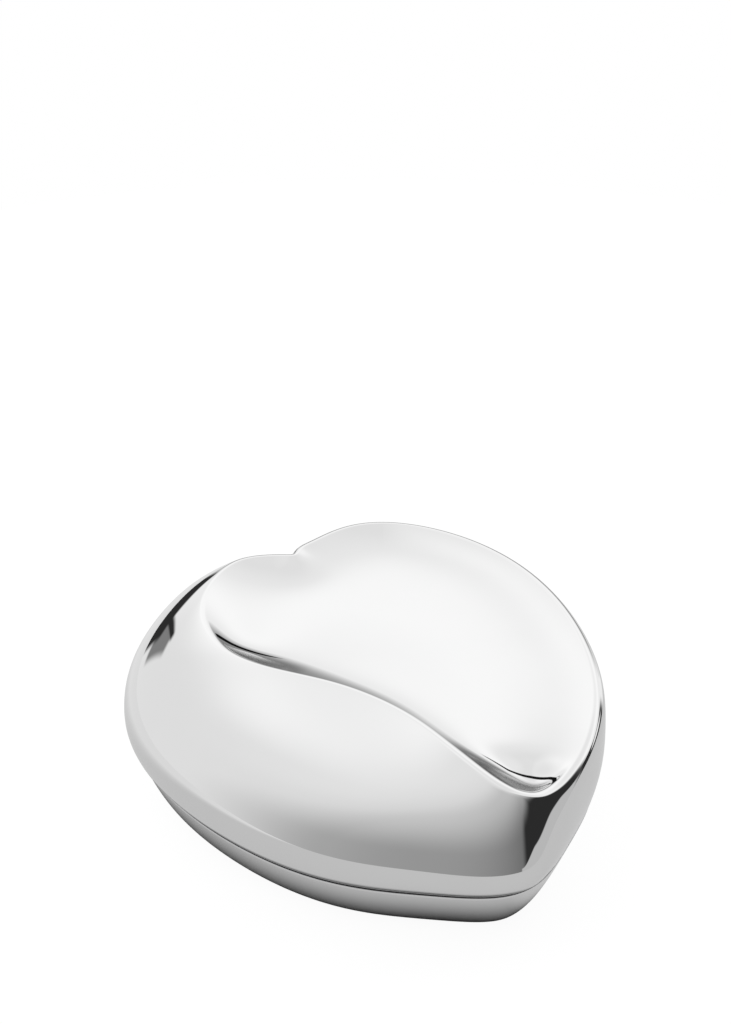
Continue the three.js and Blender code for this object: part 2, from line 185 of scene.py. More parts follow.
length = setting(FloatProperty, precision=5, unit="LENGTH", subtype="DISTANCE")
angle = setting(FloatProperty, unit="ROTATION", subtype="ANGLE")
share = setting(FloatProperty, min=0.0, max=1.0, subtype="FACTOR")
strength = setting(FloatProperty, precision=3)
colour = setting(FloatVectorProperty, size=3, min=0.0, max=1.0, subtype="COLOR")
whole = setting(IntProperty, min=60, max=900)


class HeartSettings(bpy.types.PropertyGroup):
    """Outline of the box at the girth of the lid."""

    radius: length("Radius", "Mean radius of the heart", 72.1 * MM)
    egg: length("Egg", "How much broader the notch end is", 1.0 * MM)
    oval: length("Oval", "How much longer than wide the heart is", 6.05 * MM)
    taper: length("Taper", "How much straighter the flanks run to the tip", -1.57 * MM)
    tip_reach: length("Tip reach", "How far the tip is pushed out", 8.1 * MM)
    tip_sharpness: strength("Tip sharpness", "How narrow the tip is", 31.0)
    notch_depth: length("Notch depth", "How far the notch is pressed in", 14.0 * MM)
    notch_sharpness: strength("Notch sharpness", "How narrow the notch is", 30.0)
    notch_turn: angle("Notch turn", "How far the notch sits right of the axis", math.radians(7.5))
    stations: whole("Stations", "Points round the outline", 540)


class LidSettings(bpy.types.PropertyGroup):
    """Sections of the lid."""

    seam_height: length("Seam height", "Lower edge of the lid", LID_BOX[0].z)
    rim_height: length("Rim height", "Top of the rolled edge", LID_BOX[1].z)
    sheet: length("Sheet", "Thickness of the drawn steel", 1.0 * MM)
    seam_tuck: length("Seam tuck", "How far the seam lies inside the girth", 2.5 * MM)
    wall_setback: length("Wall setback", "Right wall, girth to rolled edge", 0.9 * MM)
    dish_middle_x: length("Dish middle across", "Middle of the dish from the heart's centre", 26.0 * MM)
    dish_middle_y: length("Dish middle along", "Middle of the dish from the heart's centre", 6.0 * MM)
    pocket_x: length("Pocket across", "Pocket behind the tip, from the heart's centre", 12.5 * MM)
    pocket_y: length("Pocket along", "Pocket behind the tip, from the heart's centre", -66.5 * MM)
    pocket_turn: angle("Pocket turn", "The way the pocket runs", math.radians(138.0))
    pocket_length: length("Pocket length", "Half the length of the pocket", 8.0 * MM)
    pocket_width: length("Pocket width", "Half the width of the pocket", 4.5 * MM)
    pocket_depth: length("Pocket depth", "How much deeper it is than the dish", 2.5 * MM)
    pocket_edge: length("Pocket edge", "How far behind the rolled edge the pocket sets in", 2.0 * MM)


class BowlSettings(bpy.types.PropertyGroup):
    """Sections of the bowl, its collar and the lid's seat ring."""

    mouth_height: length("Mouth height", "Upper edge of the bowl", BOWL_BOX[1].z)
    foot_inset: length("Foot inset", "Flat foot, in from the seam", 15.6 * MM)
    shoulder_inset: length("Shoulder inset", "How far in the bowl turns under its shoulder", 4.0 * MM)
    heel_inset: length("Heel inset", "How far in the bowl meets the table", 7.2 * MM)
    shoulder_drop: share("Shoulder drop", "How far down the shoulder reaches", 0.61)
    collar_top: length("Collar top", "Upper edge of the collar", COLLAR_BOX[1].z)
    collar_sheet: length("Collar sheet", "Thickness of the collar", 0.8 * MM)
    collar_clearance: length("Collar clearance", "Collar to the lid's lower edge", 0.4 * MM)
    flange_ledge: length("Flange ledge", "Flange left inside the collar", 1.0 * MM)
    ring_top: length("Ring top", "Upper face of the seat ring", RING_BOX[1].z)
    ring_ledge: length("Ring ledge", "Seat ring left inside the collar", 1.4 * MM)
    ring_clearance: length("Ring clearance", "Seat ring to the lid's wall", 0.3 * MM)
    edge_round: length("Edge round", "Radius on the cut edges of the sheet", 0.25 * MM)


class FinishSettings(bpy.types.PropertyGroup):
    """Colours of the steel."""

    polished: colour("Polished steel", "Colour of the mirror polish", (0.79, 0.79, 0.79))
    satin: colour("Satin steel", "Colour of the satin inside", (0.62, 0.62, 0.63))
    # Dark colour for the painted shade and painted dark line in the pockets, and for the steel's cloudy and
    # streaky tone
    shadow: colour("Unpolished steel", "Colour where the polish does not reach", (0.008, 0.008, 0.008))


class StageSettings(bpy.types.PropertyGroup):
    """Floor of the stage."""

    floor: colour("Floor", "Colour of the floor", (0.8, 0.8, 0.8))


class BonbonniereSettings(bpy.types.PropertyGroup):
    """All the settings of the box."""

    heart: PointerProperty(type=HeartSettings)
    lid: PointerProperty(type=LidSettings)
    bowl: PointerProperty(type=BowlSettings)
    finish: PointerProperty(type=FinishSettings)
    stage: PointerProperty(type=StageSettings)


# Objects and arithmetic in node trees


def put(name, data):
    """New object in the scene."""
    made = bpy.data.objects.new(name, data)
    bpy.context.scene.collection.objects.link(made)
    return made


class NodeNumber:
    """A number in a node tree that takes part in plain arithmetic."""

    def __init__(self, tree, socket):
        self.tree = tree
        self.socket = socket

    def step(self, operation, *others):
        node = self.tree.nodes.new("ShaderNodeMath")
        node.operation = operation
        for slot, value in zip(node.inputs, (self, *others)):
            if isinstance(value, NodeNumber):
                self.tree.links.new(value.socket, slot)
            else:
                slot.default_value = value
        return NodeNumber(self.tree, node.outputs[0])

    def __add__(self, other):
        return self.step("ADD", other)

    __radd__ = __add__

    def __mul__(self, other):
        return self.step("MULTIPLY", other)

    __rmul__ = __mul__

    def __sub__(self, other):
        return self.step("SUBTRACT", other)

    def __rsub__(self, other):
        return self * -1.0 + other

    def sin(self):
        return self.step("SINE")

    def cos(self):
        return self.step("COSINE")

    def exp(self):
        return self.step("EXPONENT")

    def ramp(self, low, high, kind="LINEAR"):
        """0 at low, 1 at high and straight between."""
        node = add_node(self.tree, "ShaderNodeMapRange", Value=self, From_Min=low, From_Max=high)
        node.interpolation_type = kind
        return NodeNumber(self.tree, node.outputs["Result"])

    def smooth(self, low, high):
        """0 at low, 1 at high and a soft step between."""
        return self.ramp(low, high, "SMOOTHSTEP")

    def inside(self, low, high, edge):
        """1 from low to high, with soft edges."""
        return self.smooth(low - edge, low + edge) * (1.0 - self.smooth(high - edge, high + edge))


def mix(a, b, w):
    return a + (b - a) * w


def add_node(tree, kind, **inputs):
    """New node with its inputs set or linked."""
    made = tree.nodes.new(kind)
    for name, value in inputs.items():
        slot = made.inputs[name.replace("_", " ")]
        if isinstance(value, NodeNumber):
            value = value.socket
        if isinstance(value, bpy.types.NodeSocket):
            tree.links.new(value, slot)
        else:
            slot.default_value = value
    return made


# Heart outline

SMALL_STEP = 1e-4
FINE_STATIONS = 3600


def outline_radius(turn, heart):
    """Distance of the outline from the centre; the turn starts at +Y and goes towards +X."""
    tip = np.exp((np.cos(turn) + 1.0) * -1.0 * heart.tip_sharpness)
    notch = np.exp((np.cos(turn - heart.notch_turn) - 1.0) * heart.notch_sharpness)
    return (
        np.cos(turn) * heart.egg
        + np.cos(turn * 2.0) * heart.oval
        + np.cos(turn * 3.0) * heart.taper
        + tip * heart.tip_reach
        - notch * heart.notch_depth
        + heart.radius
    )


def polar(turn, radius):
    return np.stack([radius * np.sin(turn), radius * np.cos(turn)], -1)


def outline(turn, heart):
    return polar(turn, outline_radius(turn, heart))


def unit(vectors):
    return vectors / np.linalg.norm(vectors, axis=-1, keepdims=True)


def left_of(along):
    """Unit vectors that point to the left of a way across the plane."""
    return unit(np.stack([-along[..., 1], along[..., 0]], -1))


def outline_normal(turn, heart):
    return left_of(outline(turn + SMALL_STEP, heart) - outline(turn - SMALL_STEP, heart))


def curve_weights(w):
    """Weights of the four points that guide a curve."""
    return (1 - w) ** 3, 3 * w * (1 - w) ** 2, 3 * w * w * (1 - w), w**3


# Lid

LOW_ROWS = 6
SIDE_ROWS = 30
ROLL_ROWS = 10
DISH_ROWS = 56
DISH_GATHER = 1.4
INSIDE_STEP = 3
EDGE_ROWS = 3
FIRST_SLOPE = math.radians(80.0)
SLOPE_TRIES = 14
WALL_TRIES = 40
POINTS_AT_ONCE = 400
LEAST_REACH = 1e-9
LEAST_SQUARE = 1e-12
TIE = 1e-6
NO_POCKET = (-1.0, -1.0, 0.0)


def closed_spline(values, t, turn=0.0):
    """Smooth closed curve guided by values at even steps; turn is what the value gains in one round."""
    values = np.asarray(values, float)
    count = len(values)
    place = t * count
    first = np.floor(place).astype(int)
    f = place - first
    weights = (
        (1 - f) ** 3 / 6,
        (3 * f**3 - 6 * f**2 + 4) / 6,
        (-3 * f**3 + 3 * f**2 + 3 * f + 1) / 6,
        f**3 / 6,
    )
    total = np.zeros_like(f)
    for k, weight in enumerate(weights):
        index = first + k - 1
        rounds = np.floor_divide(index, count)
        total = total + weight * (values[index - rounds * count] + turn * rounds)
    return total


def at_guides(table, count):
    """Columns of a table of sections, filled in for every guide between the sections that are given."""
    numbers, *columns = np.array(table, float).T
    return [np.interp(np.arange(count), numbers, column) for column in columns]


def lid_sections(count):
    """Profile of the lid at every guide."""
    girth, rise, level, span, swell, roll = at_guides(SIDE_SECTIONS, count)
    slope, run, bend = at_guides(DISH_SECTIONS, count)
    return SimpleNamespace(
        girth=girth * MM,
        rise=rise,
        level=level,
        span=span,
        swell=swell * MM,
        roll=roll * MM,
        steepness=np.tan(np.radians(slope)),
        run=run * MM,
        bend=bend * MM,
    )


def rim_guides(heart, lid, sections):
    """Guides of the rim as columns: place, joined angle and dip."""
    rows = []
    for joins, at, inset, dip in RIM_LEFT:
        turn = math.radians(at)
        point = polar(turn, outline_radius(turn, heart) - inset * MM)
        rows.append((*point, math.radians(joins), dip * MM))
    for i, joins in enumerate(RIM_RIGHT):
        turn = np.radians(joins)
        k = len(RIM_LEFT) + i
        setback = sections.roll[k] + lid.wall_setback - sections.swell[k]
        point = outline(turn, heart) - outline_normal(turn, heart) * setback
        dip = RIGHT_DIPS[i] * MM if i < len(RIGHT_DIPS) else 0.0
        rows.append((*point, turn, dip))
    x, y, joins, dip = np.array(rows).T
    return SimpleNamespace(x=x, y=y, joins=joins, dip=dip)


def lid_stations(heart, lid, count):
    """Stations round the lid: place on the outline and on the rim, and the side's profile between them."""
    sections = lid_sections(len(RIM_LEFT) + len(RIM_RIGHT))
    guides = rim_guides(heart, lid, sections)
    t = np.arange(count) / count

    def rim(at):
        return np.stack([closed_spline(guides.x, at), closed_spline(guides.y, at)], -1)

    turn = closed_spline(guides.joins, t, -2.0 * math.pi)
    s = SimpleNamespace(**{name: closed_spline(value, t) for name, value in vars(sections).items()})
    s.outward = outline_normal(turn, heart)
    s.foot = outline(turn, heart)
    s.girth_height = lid.seam_height + s.girth
    s.girth = s.foot + s.outward * s.swell[:, None]
    s.rim = rim(t)
    s.inward = left_of(rim(t + SMALL_STEP) - rim(t - SMALL_STEP))
    s.top = lid.rim_height - closed_spline(guides.dip, t)
    # The side ends on the rolled edge at the slope it arrives with
    s.slope = np.full(count, FIRST_SLOPE)
    for _ in range(SLOPE_TRIES):
        s.end = s.rim - s.inward * (s.roll * np.sin(s.slope))[:, None]
        s.end_height = s.top - s.roll * (1 - np.cos(s.slope))
        reach = np.maximum(np.sum((s.end - s.girth) * s.inward, 1), 0.0)
        s.slope = np.arctan2(s.level * (s.end_height - s.girth_height), s.span * reach + LEAST_REACH)
    return s


def box_middle(settings):
    """Middle of the lid's footprint, which lies at the origin of the frame."""
    points = lid_stations(settings.heart, settings.lid, FINE_STATIONS).girth
    return (points.min(0) + points.max(0)) / 2.0


def with_height(plan, height):
    return np.concatenate([plan, np.broadcast_to(height, plan.shape[:1])[:, None]], 1)


def low_row(s, lid, w):
    """Lid below the girth, w from the seam up to the girth."""
    tuck = (lid.seam_tuck + s.swell) * (1 - w) ** 2
    plan = s.girth - s.outward * tuck[:, None]
    return with_height(plan, mix(lid.seam_height, s.girth_height, w))


def side_shares(s, w):
    """How far across and how far up the side has come at w."""
    _, b1, b2, b3 = curve_weights(w)
    return b2 * (1 - s.span) + b3, b1 * s.rise + b2 * (1 - s.level) + b3


def side_row(s, w):
    """Side of the lid from the girth up to the rolled edge."""
    across, up = side_shares(s, w)
    return with_height(mix(s.girth, s.end, across[:, None]), mix(s.girth_height, s.end_height, up))


def wall_inset(s, lid, height):
    """How far in from the outline the lid's wall stands at a height."""
    climbed = np.clip((height - lid.seam_height) / (s.girth_height - lid.seam_height), 0.0, 1.0)
    low = np.zeros_like(s.top)
    high = np.ones_like(s.top)
    for _ in range(WALL_TRIES):
        w = (low + high) / 2
        below = mix(s.girth_height, s.end_height, side_shares(s, w)[1]) < height
        low = np.where(below, w, low)
        high = np.where(below, high, w)
    lean = np.sum((s.girth - s.end) * s.outward, 1)
    tuck = (lid.seam_tuck + s.swell) * (1 - climbed) ** 2
    return np.maximum(tuck, lean * side_shares(s, low)[0]) - s.swell


def roll_row(s, w):
    """Rolled edge from the side over the rim into the dish."""
    lean = mix(s.slope, -np.arctan(s.steepness), w)
    plan = s.rim - s.inward * (s.roll * np.sin(lean))[:, None]
    return with_height(plan, s.top - s.roll * (1 - np.cos(lean)))


def dish_fall(distance, steepness, run, bend):
    """How far the dish has fallen: steadily along its run, then it bends level."""
    past = np.logaddexp(0.0, (distance - run) / bend) - np.logaddexp(0.0, -run / bend)
    return steepness * (distance - bend * past) * (1 + np.exp(-run / bend))


def pocket_fall(points, distance, lid):
    """How much deeper the pocket makes the dish at points so far from the edge."""
    x, y = (points - np.array([lid.pocket_x, lid.pocket_y])).T
    along = (x * math.sin(lid.pocket_turn) + y * math.cos(lid.pocket_turn)) / lid.pocket_length
    across = (x * math.cos(lid.pocket_turn) - y * math.sin(lid.pocket_turn)) / lid.pocket_width
    set_in = distance**2 / (distance**2 + lid.pocket_edge**2)
    return lid.pocket_depth * set_in * np.exp(-(along**2 + across**2) / 2)


def dish_heights(points, edge, s, lid):
    """Heights of the dish; the distance to the whole edge is blended, so that no crease shows."""
    start = edge[:, :2]
    along = np.roll(start, -1, 0) - start
    lengths = np.linalg.norm(along, axis=1)
    along = along / lengths[:, None]
    columns = np.stack([edge[:, 2], s.steepness, s.run, s.bend], 1)
    columns = (columns + np.roll(columns, -1, 0)) / 2
    heights = np.empty(len(points))
    for first in range(0, len(points), POINTS_AT_ONCE):
        here = points[first : first + POINTS_AT_ONCE]
        gap = here[:, None] - start[None]
        ahead = np.sum(gap * along[None], 2)
        apart = np.maximum(np.sum(gap * gap, 2) - ahead * ahead, LEAST_SQUARE)
        rest = lengths[None] - ahead
        weight = (rest / np.sqrt(apart + rest**2) + ahead / np.sqrt(apart + ahead**2)) / apart
        total = weight.sum(1)
        edge_height, steepness, run, bend = (weight @ columns / total[:, None]).T
        distance = np.sqrt(2 / total)
        fall = dish_fall(distance, steepness, run, bend) + pocket_fall(here, distance, lid)
        heights[first : first + POINTS_AT_ONCE] = edge_height - fall
    return heights


def lid_rows(settings):
    """Closed section of the lid as rows of points: under the dish, down inside, round the lower edge, up the
    outside and over the rim to the middle of the dish. Also the row from which the skin is the polished
    outside, and the row at the edge of the dish."""
    heart = settings.heart
    lid = settings.lid
    edge_round = settings.bowl.edge_round
    s = lid_stations(heart, lid, heart.stations)
    outer = [low_row(s, lid, i / LOW_ROWS) for i in range(LOW_ROWS)]
    outer += [side_row(s, np.full(heart.stations, i / SIDE_ROWS)) for i in range(SIDE_ROWS)]
    outer += [roll_row(s, i / ROLL_ROWS) for i in range(ROLL_ROWS + 1)]
    edge = outer[-1]
    middle = np.array([[lid.dish_middle_x, lid.dish_middle_y]])
    for i in range(1, DISH_ROWS):
        plan = mix(edge[:, :2], middle, (i / DISH_ROWS) ** DISH_GATHER)
        outer.append(with_height(plan, dish_heights(plan, edge, s, lid)))
    outer = np.array(outer)
    top = with_height(middle, dish_heights(middle, edge, s, lid))
    inner = (outer - skin_normals(outer) * lid.sheet)[2::INSIDE_STEP]
    # Lower edge of the sheet, with its cut corners rounded
    wall = unit(outer[0] - outer[1])
    across = with_height(-s.outward, 0.0)
    corner = outer[0].copy()
    far_corner = corner + across * lid.sheet
    outer[0] = corner - wall * edge_round
    near = rounded(outer[0], corner, corner + across * edge_round)
    far = rounded(far_corner - across * edge_round, far_corner, far_corner - wall * edge_round)
    lower = np.concatenate([near, far])[::-1]
    rows = np.concatenate([inner[::-1], lower, outer[1:]])
    first_dish_row = len(rows) - DISH_ROWS
    shift = np.array([*box_middle(settings), 0.0])
    under = top - np.array([0.0, 0.0, lid.sheet])
    return under - shift, rows - shift, top - shift, len(inner), first_dish_row


def beside_lip(points, lip):
    """Columns for points beside a lip: how far inside it they lie, then its own columns at the nearest place."""
    lip = np.array(lip, float)
    steps = np.diff(lip, axis=0)
    along = steps[:, :2]
    gap = points[:, None] - lip[None, :-1, :2]
    place = np.clip(np.sum(gap * along, 2) / np.sum(along**2, 1), 0.0, 1.0)
    distance = np.linalg.norm(gap - place[..., None] * along, axis=2)
    side = (gap[..., 0] * along[:, 1] - gap[..., 1] * along[:, 0]) / np.linalg.norm(along, axis=1)
    # Where a corner is nearest, the straight that is seen more from the side tells inside from outside
    nearest = np.argmin(distance - np.abs(side) * TIE, 1)
    pick = np.arange(len(points))
    columns = lip[nearest, 2:] + place[pick, nearest, None] * steps[nearest, 2:]
    inside = np.copysign(distance[pick, nearest], side[pick, nearest])
    return np.concatenate([inside[:, None], columns], 1)


def pocket_values(rows, first_dish_row, middle):
    """For every point of the lid: distance inside the pocket's lip, half width of the painted dark line,
    dullness and painted shade.
    """
    count, stations = rows.shape[:2]
    points = rows[first_dish_row + 1 :, :, :2].reshape(-1, 2) + middle
    left, right = (beside_lip(points / MM, lip) for lip in (LEFT_LIP, RIGHT_LIP))
    nearer = np.abs(left[:, :1]) < np.abs(right[:, :1])
    values = np.tile(NO_POCKET, (count * stations + 2, 1))
    values[(first_dish_row + 1) * stations : count * stations] = np.where(nearer, left, right)
    return dict(zip(("pocket_lip", "painted_lip_line", "pocket_dull_and_shade"), values.T))


def rounded(start, corner, end):
    """Rows of a soft corner from start to end."""
    steps = np.linspace(0, 1, EDGE_ROWS + 1)
    return np.array([(1 - w) ** 2 * start + 2 * w * (1 - w) * corner + w * w * end for w in steps])


def soft_corner(before, corner, after, radius):
    """Rows of a corner that is rounded off towards its two neighbours."""
    start = corner + unit(before - corner) * radius
    end = corner + unit(after - corner) * radius
    return rounded(start, corner, end)


def skin_normals(rows):
    """Outward normals of a skin of rows, fitted through the points on both sides."""
    around = np.roll(rows, -1, 1) - np.roll(rows, 1, 1)
    ahead = np.diff(rows, axis=0)
    gap = np.linalg.norm(ahead, axis=2, keepdims=True)
    up = np.empty_like(rows)
    up[0] = ahead[0]
    up[-1] = ahead[-1]
    up[1:-1] = ahead[1:] / gap[1:] * gap[:-1] + ahead[:-1] / gap[:-1] * gap[1:]
    return unit(np.cross(around, up))


def skin_faces(rows):
    """Point numbers of closed rows, and the faces between one row and the next."""
    count, stations = rows.shape[:2]
    ids = np.arange(count * stations).reshape(count, stations)
    ahead = np.roll(ids, -1, 1)
    quads = np.stack([ids[:-1], ahead[:-1], ahead[1:], ids[1:]], -1).reshape(-1, 4)
    return ids, ahead, quads.tolist()


def plain_mesh(name, points, faces):
    mesh = bpy.data.meshes.new(name)
    mesh.from_pydata(points.tolist(), [], faces)
    mesh.shade_smooth()
    return mesh


def skin_mesh(name, rows, first_pole, last_pole):
    """Mesh of closed rows between two poles."""
    ids, ahead, faces = skin_faces(rows)
    points = np.concatenate([rows.reshape(-1, 3), first_pole, last_pole])
    first = ids.size
    start = [(first, int(b), int(a)) for a, b in zip(ids[0], ahead[0])]
    end = [(int(a), int(b), first + 1) for a, b in zip(ids[-1], ahead[-1])]
    return plain_mesh(name, points, start + faces + end)


def ring_mesh(name, rows):
    """Mesh of closed rows of which the last meets the first."""
    ids, ahead, faces = skin_faces(rows)
    last = np.stack([ids[-1], ahead[-1], ahead[0], ids[0]], -1)
    return plain_mesh(name, rows.reshape(-1, 3), faces + last.tolist())


# Bands that follow the heart outline

SWEEP_NAME = "Profile round the heart"
SWEEP_SIZES = [size for size in HeartSettings.__annotations__ if size != "stations"]
SWEEP_INPUTS = {
    "Geometry": "NodeSocketGeometry",
    **dict.fromkeys(SWEEP_SIZES, "NodeSocketFloat"),
    "middle": "NodeSocketVector",
    "stations": "NodeSocketInt",
    "profile": "NodeSocketObject",
    "finish": "NodeSocketMaterial",
}
MERGE_DISTANCE = 1e-6
OPEN_EDGE_FACES = 1.0
COUNT_SLACK = 0.1


def sweep_tree():
    """Geometry nodes that carry a profile round the heart and close what stays open towards the middle."""
    tree = bpy.data.node_groups.new(SWEEP_NAME, "GeometryNodeTree")
    tree.interface.new_socket("Geometry", in_out="OUTPUT", socket_type="NodeSocketGeometry")
    for name, kind in SWEEP_INPUTS.items():
        tree.interface.new_socket(name, in_out="INPUT", socket_type=kind)
    node = partial(add_node, tree)
    given = tree.nodes.new("NodeGroupInput").outputs
    heart = SimpleNamespace(**{size: NodeNumber(tree, given[size]) for size in SWEEP_SIZES})
    circle = node("GeometryNodeCurvePrimitiveCircle", Resolution=given["stations"])
    turn = NodeNumber(tree, node("GeometryNodeSplineParameter").outputs["Factor"]) * (2.0 * math.pi)
    radius = outline_radius(turn, heart)
    place = node("ShaderNodeCombineXYZ", X=radius * turn.sin(), Y=radius * turn.cos())
    centred = node("ShaderNodeVectorMath")
    centred.operation = "SUBTRACT"
    tree.links.new(place.outputs[0], centred.inputs[0])
    tree.links.new(given["middle"], centred.inputs[1])
    path = node("GeometryNodeSetPosition", Geometry=circle.outputs[0], Position=centred.outputs[0])
    upright = node("GeometryNodeSetCurveNormal", Curve=path.outputs[0])
    upright.mode = "Z_UP"
    profile = node("GeometryNodeObjectInfo", Object=given["profile"])
    section = profile.outputs["Geometry"]
    band = node("GeometryNodeCurveToMesh", Curve=upright.outputs[0], Profile_Curve=section)
    # Open edges run together in the middle
    sides = node("GeometryNodeInputMeshEdgeNeighbors")
    is_open = NodeNumber(tree, sides.outputs[0]).step("COMPARE", OPEN_EDGE_FACES, COUNT_SLACK)
    fan = node("GeometryNodeExtrudeMesh", Mesh=band.outputs[0], Selection=is_open, Offset_Scale=0.0)
    fan.mode = "EDGES"
    height = node("ShaderNodeSeparateXYZ", Vector=node("GeometryNodeInputPosition").outputs[0])
    pole = node("ShaderNodeCombineXYZ", Z=height.outputs["Z"])
    closed = node(
        "GeometryNodeSetPosition",
        Geometry=fan.outputs["Mesh"],
        Selection=fan.outputs["Top"],
        Position=pole.outputs[0],
    )
    merged = node("GeometryNodeMergeByDistance", Geometry=closed.outputs[0], Distance=MERGE_DISTANCE)
    smooth = node("GeometryNodeSetShadeSmooth", Geometry=merged.outputs[0])
    real = node("GeometryNodeRealizeInstances", Geometry=smooth.outputs[0])
    finish = node("GeometryNodeSetMaterial", Geometry=real.outputs[0], Material=given["finish"])
    result = tree.nodes.new("NodeGroupOutput")
    tree.links.new(finish.outputs[0], result.inputs[0])
    return tree


def profile_curve(points, closed):
    """Section of a band as a curve: how far in from the girth, and the height."""
    curve = bpy.data.curves.new("section", "CURVE")
    curve.dimensions = "2D"
    spline = curve.splines.new("POLY")
    spline.points.add(len(points) - 1)
    for point, (inset, height) in zip(spline.points, points):
        point.co = (inset, -height, 0.0, 1.0)
    spline.use_cyclic_u = closed
    return put("section", curve)


def sweep_mesh(name, settings, points, closed, finish):
    """Mesh of a band, made by the geometry nodes and then plain."""
    tree = bpy.data.node_groups.get(SWEEP_NAME) or sweep_tree()
    section = profile_curve(points, closed)
    host = put(name + "_sweep", bpy.data.meshes.new(name + "_sweep"))
    modifier = host.modifiers.new("Sweep", "NODES")
    modifier.node_group = tree
    values = {size: getattr(settings.heart, size) for size in SWEEP_SIZES}
    values["middle"] = (*box_middle(settings), 0.0)
    values["stations"] = settings.heart.stations
    values["profile"] = section
    values["finish"] = finish
    for item in tree.interface.items_tree:
        if item.in_out == "INPUT" and item.name in values:
            modifier[item.identifier] = values[item.name]
    seen = bpy.context.evaluated_depsgraph_get()
    mesh = bpy.data.meshes.new_from_object(host.evaluated_get(seen))
    mesh.name = name
    host.modifiers.remove(modifier)
    bpy.data.objects.remove(host)
    bpy.data.objects.remove(section)
    return mesh


def soft_corners(points, corners, radius):
    """Polyline with the corners at the given places rounded off."""
    points = np.array(points)
    made = []
    for i, point in enumerate(points):
        if i in corners:
            made += [*soft_corner(points[i - 1], point, points[(i + 1) % len(points)], radius)]
        else:
            made.append(point)
    return made


# Bowl, collar and seat ring

BOWL_ROWS = 32
PROFILE_STEP = 1e-3
UNDER_FLANGE = 1.1
LOOKS_UP = 0.2
LEANING_SHEET = 1.2


def bowl_outside(bowl, w):
    """Outer profile from the mouth down to the flat foot: inset from the seam, and height."""
    b0, b1, b2, b3 = curve_weights(w)
    inset = b1 * bowl.shoulder_inset + b2 * bowl.heel_inset + b3 * bowl.foot_inset
    return np.array([inset, bowl.mouth_height * (b0 + b1 * (1 - bowl.shoulder_drop))])


def bowl_inside(bowl, sheet, w):
    """Inner profile, one sheet inside the outer one."""
    ahead = bowl_outside(bowl, min(w + PROFILE_STEP, 1))
    behind = bowl_outside(bowl, max(w - PROFILE_STEP, 0))
    return bowl_outside(bowl, w) + left_of(ahead - behind) * sheet


def bowl_points(settings):
    """Section of the bowl from the foot up the outside, over the flange and down the inside."""
    bowl = settings.bowl
    sheet = settings.lid.sheet
    tuck = settings.lid.seam_tuck
    flange = sheet + bowl.collar_clearance + bowl.collar_sheet + bowl.flange_ledge
    shares = [i / BOWL_ROWS for i in range(BOWL_ROWS + 1)]
    outside = [bowl_outside(bowl, w) for w in shares[::-1]]
    inside = [bowl_inside(bowl, sheet, w) for w in shares]
    inside = [p for p in inside if p[1] < bowl.mouth_height - sheet * UNDER_FLANGE]
    ledge = [
        np.array([flange, bowl.mouth_height]),
        np.array([flange, bowl.mouth_height - sheet]),
        np.array([inside[0][0], bowl.mouth_height - sheet]),
    ]
    points = [(p[0] + tuck, p[1]) for p in outside + ledge + inside]
    mouth = len(outside) - 1
    return soft_corners(points, (mouth, mouth + 1, mouth + 2), bowl.edge_round)


def box_points(inner, outer, low, high, radius):
    """Section of a flat band with soft corners."""
    corners = [(outer, low), (outer, high), (inner, high), (inner, low)]
    return soft_corners(corners, (0, 1, 2, 3), radius)


def ring_rows(settings):
    """Section of the seat ring as rows of points: its outer edge keeps clear of the lid's wall."""
    bowl = settings.bowl
    lid = settings.lid
    s = lid_stations(settings.heart, lid, settings.heart.stations)
    wall = np.maximum(wall_inset(s, lid, bowl.collar_top), wall_inset(s, lid, bowl.ring_top))
    outer = wall + lid.sheet * LEANING_SHEET + bowl.ring_clearance
    collar = lid.seam_tuck + lid.sheet + bowl.collar_clearance + bowl.collar_sheet
    inner = np.full_like(outer, collar + bowl.ring_ledge)
    corners = [
        np.stack([inset, np.full_like(inset, height)], 1)
        for inset, height in (
            (outer, bowl.collar_top),
            (outer, bowl.ring_top),
            (inner, bowl.ring_top),
            (inner, bowl.collar_top),
        )
    ]
    rows = []
    for i, corner in enumerate(corners):
        after = corners[(i + 1) % len(corners)]
        for row in soft_corner(corners[i - 1], corner, after, bowl.edge_round):
            rows.append(with_height(s.foot - s.outward * row[:, :1], row[:, 1]))
    return np.array(rows) - np.array([*box_middle(settings), 0.0])


# Finishes

CLOUDS_PER_METRE = 60.0
STREAKS_PER_METRE = 2500.0
STREAK_RUN = 25.0
WAVES_PER_METRE = 90.0
WAVE_HEIGHT = 4e-6
STREAK_HEIGHT = 8e-6
# Mirror polish, painted pocket shade and painted lip line, with the widths at the lips of the pockets in
# millimetres
POLISH_ROUGHNESS = 0.005
CLOUD_ROUGHNESS = 0.01
CLOUD_DARKNESS = 0.02
LINE_EDGE = (0.0, 0.3)
LINE_WITHOUT_SHINE = (0.7, 1.0)
POCKET_EDGE = (0.3, 6.0)
POCKET_ROUGHNESS = 0.25
POCKET_PAINTED_SHADE = 0.85
SHADE_STREAKS_PER_MM = 1.3
SHADE_STREAK_DEPTH = 0.15
SHADE_STREAK_FLOOR = 0.9
# Satin brush
SATIN_ROUGHNESS = 0.22
SATIN_CLOUD_ROUGHNESS = 0.06
SATIN_STREAK_ROUGHNESS = 0.1
SATIN_CLOUD_DARKNESS = 0.1
SATIN_STREAK_DARKNESS = 0.2


